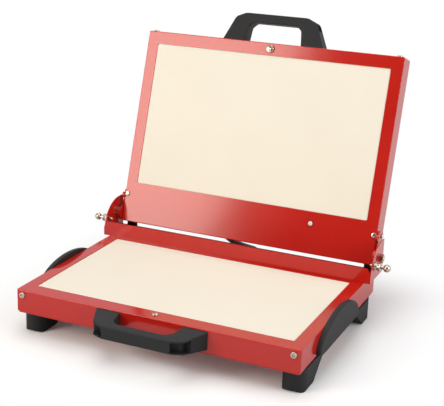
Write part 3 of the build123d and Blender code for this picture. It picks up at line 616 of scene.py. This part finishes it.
def half_round_end(foot, outwards):
    """Trim a foot to what lies inside a prism. The prism's plan is a half circle of the foot's
    width at the outer end, and a rectangle that stands clear of the foot behind it."""
    points = mesh_points(foot.data)
    low, high = points.min(axis=0), points.max(axis=0)
    radius = (high[0] - low[0]) / 2
    middle = (low[0] + high[0]) / 2
    tip, back = (low[1], high[1]) if outwards < 0 else (high[1], low[1])
    turns = np.linspace(0, math.pi, round_end_points)
    round_end = np.stack([middle + radius * np.cos(turns),
                          tip - outwards * radius * (1 - np.sin(turns))], axis=1)
    left = middle - radius - end_clearance
    right = middle + radius + end_clearance
    behind = back - outwards * end_clearance
    shoulder = round_end[0, 1]
    plan = np.concatenate([
        round_end, [(left, shoulder), (left, behind), (right, behind), (right, shoulder)],
    ])
    prism_points = np.concatenate([
        np.column_stack([plan, np.full(len(plan), height)])
        for height in (low[2] - end_clearance, high[2] + end_clearance)
    ])
    prism_mesh = closed_mesh("foot_plan", prism_points, skin(2, len(plan)))
    prism = bpy.data.objects.new("foot_plan", prism_mesh)
    bpy.context.scene.collection.objects.link(prism)
    trim = foot.modifiers.new("half_round_end", "BOOLEAN")
    trim.operation = "INTERSECT"
    trim.object = prism
    evaluated = foot.evaluated_get(bpy.context.evaluated_depsgraph_get())
    foot.data = bpy.data.meshes.new_from_object(evaluated)
    foot.data.shade_smooth()
    foot.data.set_sharp_from_angle(angle=math.radians(fold_angle))
    foot.modifiers.remove(trim)
    bpy.data.objects.remove(prism)
    bpy.data.meshes.remove(prism_mesh)


for end, outwards in (("front", -1), ("rear", 1)):
    for side in ("left", "right"):
        foot = even_copy(f"{end}_foot_{side}", nylon, "base")
        half_round_end(foot, outwards)
        keep_flats(foot)


# The screws and studs
# Pan-head machine screws, nickel plated over steel, each with a cross recess. The plating
# is bright and slightly warm, with fine marks from the driver and from tumbling.
def grained(name, code, patch, smoothest, roughest, detail=3, **sockets):
    """A material whose roughness wanders between two values over patches of a size in millimetres."""
    made = new_material(name, code, **sockets)
    there = add_node(made, "ShaderNodeTexCoord")
    noise = add_node(made, "ShaderNodeTexNoise", {
        "Vector": there.outputs["Object"], "Scale": 1000 / patch, "Detail": detail,
    })
    rough = add_node(made, "ShaderNodeMapRange", {
        "Value": noise.outputs[0], "To Min": smoothest, "To Max": roughest,
    })
    connect(made, "Roughness", rough.outputs[0])
    return made


# The marks are about 1 mm apart
nickel = grained("nickel_plated_steel", "#C0B6A8", 1.111, 0.12, 0.3, metallic=1.0)
round_steps = 72
crown_points = 26
rim_steps = 7
# In shares of the head's radius: where the crown meets the rim, a slot's half width and
# reach, and the widths over which its depth comes up at its sides and at its ends
crown_edge = 0.8
slot_half_width = 0.12
slot_reach = 0.55
slot_side = 0.06
slot_end = 0.2
# In shares of the head's height: the crown's fall out to the head's full radius, and the
# recess's depth. The rim's foot is a share of the height at the crown's edge.
crown_fall = 0.18
recess_depth = 0.5
rim_foot_height = 0.35
# The tip is a short cone, with its small end and its length in shares of the shank's radius
tip_radius = 0.6
tip_length = 0.5


def turned_rows(profile):
    """A profile swept once round: for each radius and height, a ring of points at the radius
    times the cosine and the sine of an angle. Gives arrays of x, y and height."""
    angles = np.linspace(0, 2 * math.pi, round_steps, endpoint=False)
    radius, height = profile[:, :1], profile[:, 1:]
    return radius * np.cos(angles), radius * np.sin(angles), height * np.ones(round_steps)


def placed(x, y, height, axis, origin):
    """Points in the object's frame: x and y along two directions square to an axis, and height
    along the axis, all from an origin."""
    axis = np.array(axis, float)
    side = np.cross(axis, (0, 0.6, 0.8)) if abs(axis[0]) < 0.9 else np.array((0, 1.0, 0))
    side /= np.linalg.norm(side)
    other = np.cross(axis, side)
    points = x[..., None] * side + y[..., None] * other + height[..., None] * axis + np.array(origin)
    return points.reshape(-1, 3)


def screw_profile(shank, head, height, length):
    """Half outline of a pan head and its shank, from the middle of the top to the tip: a crown that
    falls with the square of the radius, a rim that is a quarter ellipse, the shank and a cone."""
    top = np.linspace(0, head * crown_edge, crown_points)
    crown = height - crown_fall * height * (top / head) ** 2
    rim = np.radians(np.linspace(90, 0, rim_steps + 1))[1:]
    rim_r = head * (crown_edge + (1 - crown_edge) * np.cos(rim))
    rim_z = crown[-1] * (rim_foot_height + (1 - rim_foot_height) * np.sin(rim))
    tip = -length - shank * tip_length
    end = [(head, 0), (shank, 0), (shank, -length), (shank * tip_radius, tip), (0, tip)]
    return np.concatenate([np.stack([top, crown], axis=1), np.stack([rim_r, rim_z], axis=1), end])


def screws(name, node, body, axis, seats, shank, head, height, length):
    """Screws at their seats, all in one piece, each a profile swept once round. The recess is a
    cross: the crown is lowered by the deeper of two slots, each with soft sides and ends."""
    profile = screw_profile(shank, head, height, length)
    x, y, high = turned_rows(profile)
    slots = [
        np.clip((slot_half_width * head - np.abs(a)) / (slot_side * head) + 0.5, 0, 1)
        * np.clip((slot_reach * head - np.abs(b)) / (slot_end * head) + 0.5, 0, 1)
        for a, b in ((x, y), (y, x))
    ]
    on_crown = (np.arange(len(profile)) < crown_points)[:, None]
    high = high - on_crown * recess_depth * height * np.maximum(*slots)
    points = np.concatenate([placed(x, y, high, axis, seat) for seat in seats])
    faces = []
    for number in range(len(seats)):
        faces += skin(len(profile), round_steps, number * high.size, ends=False)
    piece = lay_mesh(name, points, faces, nickel, body, sharp=40)
    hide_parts(node)


# In metres: the corner screws' distances from the middle and from the edge above them
corner_x = 0.229
corner_down = 0.0086
screws("base_front_screw_heads", "base_front_screws", "base", (0, -1, 0),
       [(sign * corner_x, front_wall, deck - corner_down) for sign in (-1, 1)],
       shank=0.002, head=0.005, height=0.003, length=0.010)
screws("base_deck_screw", "base_centre_stud", "base", (0, 0, 1),
       [(0, -0.2009, deck)],
       shank=0.0015, head=0.005, height=0.003, length=0.009)
screws("lid_front_screw_heads", "lid_front_screws", "lid", lid_up,
       [on_lid(sign * corner_x, lid_top, -corner_down) for sign in (-1, 1)],
       shank=0.002, head=0.005, height=0.003, length=0.010)
screws("lid_face_screw_heads", "lid_corner_screws", "lid", lid_out,
       [on_lid(sign * 0.2345, 0.05, 0) for sign in (-1, 1)],
       shank=0.0015, head=0.0045, height=0.0026, length=0.009)
screws("lid_centre_screw", "lid_centre_stud", "lid", lid_out,
       [on_lid(0, 0.3408, 0)],
       shank=0.002, head=0.007, height=0.0045, length=0.008)
for node in (
    "bracket_screws", "foot_screws", "front_handle_screws", "lid_handle_screws",
    "side_grip_screws_left", "side_grip_screws_right", "hinge_arm_screws_left",
    "hinge_arm_screws_right", "inlet_screws", "pivot_stud_left", "pivot_stud_right",
    "pivot_nut_left", "pivot_nut_right",
):
    dress(node, nickel)


# The lock pins
# A turned pin with a ball to pull it by slides in a nickel-plated bush on each ear, and
# enters an eye in the hinge arm when the lid is shut.
def turned_piece(name, node, body, rows, axis, origin, material, sharp=35):
    """A piece that stands for a CAD node: rows of radius and height in millimetres, swept once
    round an axis through an origin."""
    points = placed(*turned_rows(np.array(rows) / 1000), axis, origin)
    piece = lay_mesh(name, points, skin(len(rows), round_steps, ends=False), material, body, sharp)
    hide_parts(node)


# The pins' line, in metres, and the rows' heights, which are distances from the cooker's
# middle. The ball ends in degrees from its outermost point, where it meets the shaft.
pin_line = (0, 0.0945, 0.1022)
ball_radius = 6.5
ball_middle = 272.2
ball_end = 152.5
ball_points = 34
ball = np.radians(np.linspace(0, ball_end, ball_points))
ball_rows = np.stack([ball_radius * np.sin(ball), ball_middle + ball_radius * np.cos(ball)], axis=1)
shaft_rows = [(3, 266.2), (3, 248.8), (5, 248.7), (5, 247.4), (3, 247.3), (3, 244.1), (2.2, 243.3),
              (0, 243.3)]
pin_rows = np.concatenate([ball_rows, shaft_rows])
bush_rows = [
    (3.1, 250.6), (7.4, 250.6), (7.4, 253.4), (7.0, 253.8), (5.9, 254.3), (5.6, 255.4),
    (5.6, 256.6), (5.9, 257.6), (6.6, 258.1), (6.8, 258.6), (6.8, 260.8), (6.2, 261.6),
    (5.6, 261.8), (3.1, 261.8), (3.1, 250.6),
]
for side, sign in (("left", -1), ("right", 1)):
    turned_piece(f"lock_pin_{side}_turned", f"lock_pin_{side}", f"lock_{side}", pin_rows,
                 (sign, 0, 0), pin_line, nickel, sharp=40)
    turned_piece(f"lock_bush_{side}_turned", f"lock_bush_{side}", "base", bush_rows,
                 (sign, 0, 0), pin_line, nickel)

# The pilot lamp
# A neon indicator in the lid's lower band: a milky polycarbonate lens over an orange glow
# tube, held by a black snap-in bezel.
lamp_centre = on_lid(0.1213, 0.0517, 0)
# The tube's orange glow is painted into the lens's colour: strongest at its middle, it fades out over
# this range, in metres
glow_middle = 0.0026
glow_edge = 0.0045
lens = new_material("milky_polycarbonate_lens", "#F6E7DC", roughness=0.18, ior=1.58)
lens_place = add_node(lens, "ShaderNodeTexCoord")
from_lamp = add_node(lens, "ShaderNodeVectorMath", {
    0: lens_place.outputs["Object"], 1: lamp_centre,
}, operation="DISTANCE")
tube = add_node(lens, "ShaderNodeMapRange", {
    "Value": from_lamp.outputs["Value"], "From Min": glow_middle, "From Max": glow_edge,
}, interpolation_type="SMOOTHSTEP")
# Painted glow: the lens is coloured orange at its middle, as if lit by the tube, and pale at its rim
lens_painted_glow = add_node(lens, "ShaderNodeMix", {
    0: tube.outputs[0], 6: linear("#F2B9A6"), 7: linear("#FBF3EA"),
}, data_type="RGBA")
connect(lens, "Base Color", lens_painted_glow.outputs[2])
# In millimetres: a dome that is a quarter ellipse, on a rim, and the body behind the wall
lens_radius = 3.9
lens_rim = 0.9
dome_height = 1.6
lens_depth = 13.9
dome_points = 12
dome = np.radians(np.linspace(0, 90, dome_points))
lens_rows = np.concatenate([
    np.stack([lens_radius * np.sin(dome), lens_rim + dome_height * np.cos(dome)], axis=1),
    [(lens_radius, -lens_depth), (0, -lens_depth)],
])
turned_piece("pilot_lamp_lens", "pilot_lamp", "lid", lens_rows, lid_out, lamp_centre, lens)

# Moulded polyamide has a low, uneven sheen, in patches of about 1.4 mm
polyamide = grained("black_polyamide", "#171717", 1.429, 0.3, 0.5, detail=2, ior=1.53)
bezel_rows = [
    (4.1, 0), (5.2, 0), (5.2, 0.4), (5.05, 0.75), (4.8, 0.9), (4.4, 0.9), (4.1, 0.7), (4.1, 0),
]
turned_piece("pilot_lamp_bezel", "lamp_bezel", "lid", bezel_rows, lid_out, lamp_centre, polyamide)

# The glands
# Each end of the lead is clamped in a black polyamide gland: a flange, a hexagon for the
# spanner and a slotted nose that closes on the sleeve. The mains inlet is the same plastic.

# Rows of radius and height in millimetres, and how far each takes on the hexagon's shape
gland_rows = np.array([
    (10.75, 0, 0), (10.75, 1.7, 0), (10.3, 2, 0), (9.6, 2, 0), (9.0, 2.2, 1), (9.0, 6.6, 1),
    (8.6, 7, 0.4), (8.0, 7.1, 0), (8.4, 7.6, 0), (8.45, 10.2, 0), (7.9, 11.5, 0), (6.9, 12, 0),
    (5.75, 12, 0), (5.75, -8, 0), (5.2, -8, 0),
])
hexagon_share = 0.9
flat_distance = 8.9
hexagon_radius = 9.0
# A hexagon's radius is its flat's distance over the cosine of the angle from that flat
angles = np.linspace(0, 2 * math.pi, round_steps, endpoint=False)
from_flat = (angles + math.pi / 6) % (math.pi / 3) - math.pi / 6
hexagon = flat_distance / hexagon_radius / np.cos(from_flat) - 1
hexagon = 1 + gland_rows[:, 2:] * hexagon_share * hexagon
x, y, high = turned_rows(gland_rows[:, :2] / 1000)
for name, node, body, axis, seat in (
    ("base_lead_gland_moulding", "base_lead_gland", "base", (0, 1, 0), (0.004, 0.1399, 0.058)),
    ("lid_lead_gland_moulding", "lid_lead_gland", "lid", -lid_out, on_lid(-0.105, 0.025, -0.0394)),
):
    points = placed(x * hexagon, y * hexagon, high, axis, seat)
    piece = lay_mesh(name, points, skin(len(gland_rows), round_steps), polyamide, body,
                     sharp=28)
    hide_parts(node)
dress("power_inlet", polyamide)

# The lid stops
# Folded steel angles behind the lid, on which the open lid comes to rest. Their near-black colour is
# painted shade, for the shadow under the lid's edge, and their roughness is uneven over some 3 mm.
# Painted shade: the angles are coloured near black for the shadow that falls on them under the lid
stop_painted_shade = grained("steel_in_painted_shade", "#1C1B1B", 3.333, 0.35, 0.55, detail=2, ior=1.5)
for node in ("lid_stop_left", "lid_stop_right"):
    dress(node, stop_painted_shade)

# Inside the housings
# Out of sight: elements in a nickel alloy sheath against the plates, disc thermostats,
# mineral-fibre boards, a nylon terminal block and the inlet's brass blades.

# Heat has dulled the alloy, the zinc is mottled, the board is matt and the brass is clean
for nodes, finish in (
    (("lower_heating_element", "upper_heating_element"),
     grained("oxidised_nickel_alloy_sheath", "#5A544C", 1.667, 0.35, 0.6, metallic=1.0)),
    (("lower_thermostat", "upper_thermostat"),
     grained("zinc_plated_thermostat", "#B9B6AE", 2, 0.25, 0.45, metallic=1.0)),
    (("lower_insulation", "upper_insulation"),
     grained("mineral_fibre_board", "#D8D2BC", 4, 0.85, 1.0)),
    (("terminal_block",), grained("natural_nylon", "#E6E1D2", 2.5, 0.4, 0.55)),
    (("inlet_blades",), grained("brass_strip", "#C9A45A", 2, 0.2, 0.35, metallic=1.0)),
):
    for node in nodes:
        dress(node, finish)

bpy.context.scene.view_settings.view_transform = "Standard"
